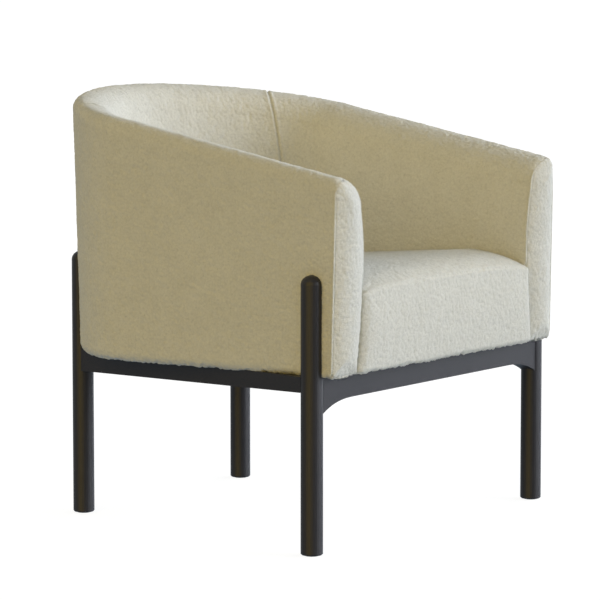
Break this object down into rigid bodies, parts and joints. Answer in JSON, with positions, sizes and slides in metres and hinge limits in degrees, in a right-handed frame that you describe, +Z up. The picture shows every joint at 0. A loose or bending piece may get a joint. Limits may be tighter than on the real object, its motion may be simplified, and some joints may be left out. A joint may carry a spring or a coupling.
{
  "type": "upholstered tub armchair",
  "caption": "Tub armchair with a tight seat, a sloping rounded rim and looped fabric cover, held on round dark wooden legs that run up outside the body, with a low rail frame.",
  "frame": {"origin": "on the floor, at the centre of the chair's bounding box in plan", "axes": "+Z up. The sitter faces -Y. +X is to the right for someone who looks at the chair from the front. X = 0 is the plane of symmetry."},
  "size_m": [0.7396, 0.7386, 0.7597],
  "materials": {
    "ebonised_wood": "ebonised hardwood under satin lacquer",
    "boucle": "cream looped upholstery fabric",
    "foam": "upholstery foam",
    "plywood": "bare plywood",
    "beech": "bare hardwood framing",
    "webbing": "woven elastic webbing",
    "lining": "black spun lining cloth",
    "zinc_steel": "zinc plate",
    "nylon": "black nylon"
  },
  "bodies": {
    "root": {"leg_front_left": "ebonised_wood", "leg_front_right": "ebonised_wood", "leg_rear_left": "ebonised_wood", "leg_rear_right": "ebonised_wood", "base_rail_front": "ebonised_wood", "base_rail_left": "ebonised_wood", "base_rail_right": "ebonised_wood", "base_rail_rear": "ebonised_wood", "glide_front_left": "nylon", "glide_front_right": "nylon", "glide_rear_left": "nylon", "glide_rear_right": "nylon", "corner_block_front_left": "beech", "corner_block_front_right": "beech", "corner_block_rear_left": "beech", "corner_block_rear_right": "beech", "mount_bolt_front_left": "zinc_steel", "mount_bolt_front_right": "zinc_steel", "mount_bolt_rear_left": "zinc_steel", "mount_bolt_rear_right": "zinc_steel", "leg_bolt_front_left": "zinc_steel", "leg_bolt_front_right": "zinc_steel", "leg_bolt_rear_left": "zinc_steel", "leg_bolt_rear_right": "zinc_steel", "seat_ring_front": "plywood", "seat_ring_left": "plywood", "seat_ring_right": "plywood", "seat_ring_back": "plywood", "arm_post_left": "beech", "arm_post_right": "beech", "back_post_left": "beech", "back_post_right": "beech", "top_rail_left": "beech", "top_rail_right": "beech", "top_rail_back": "beech", "shell_board_left": "plywood", "shell_board_right": "plywood", "shell_board_back": "plywood", "strap_long_left": "webbing", "strap_long_middle": "webbing", "strap_long_right": "webbing", "strap_cross_front": "webbing", "strap_cross_rear": "webbing", "dust_cover": "lining", "arm_pad_left": "foam", "arm_pad_right": "foam", "back_pad": "foam", "seat_foam": "foam", "outside_cover_left": "boucle", "outside_cover_right": "boucle", "outside_cover_back": "boucle", "inside_cover_left": "boucle", "inside_cover_right": "boucle", "inside_cover_back": "boucle", "arm_facing_left": "boucle", "arm_facing_right": "boucle", "seat_top_cover": "boucle", "seat_front_cover": "boucle"}
  },
  "joints": []
}
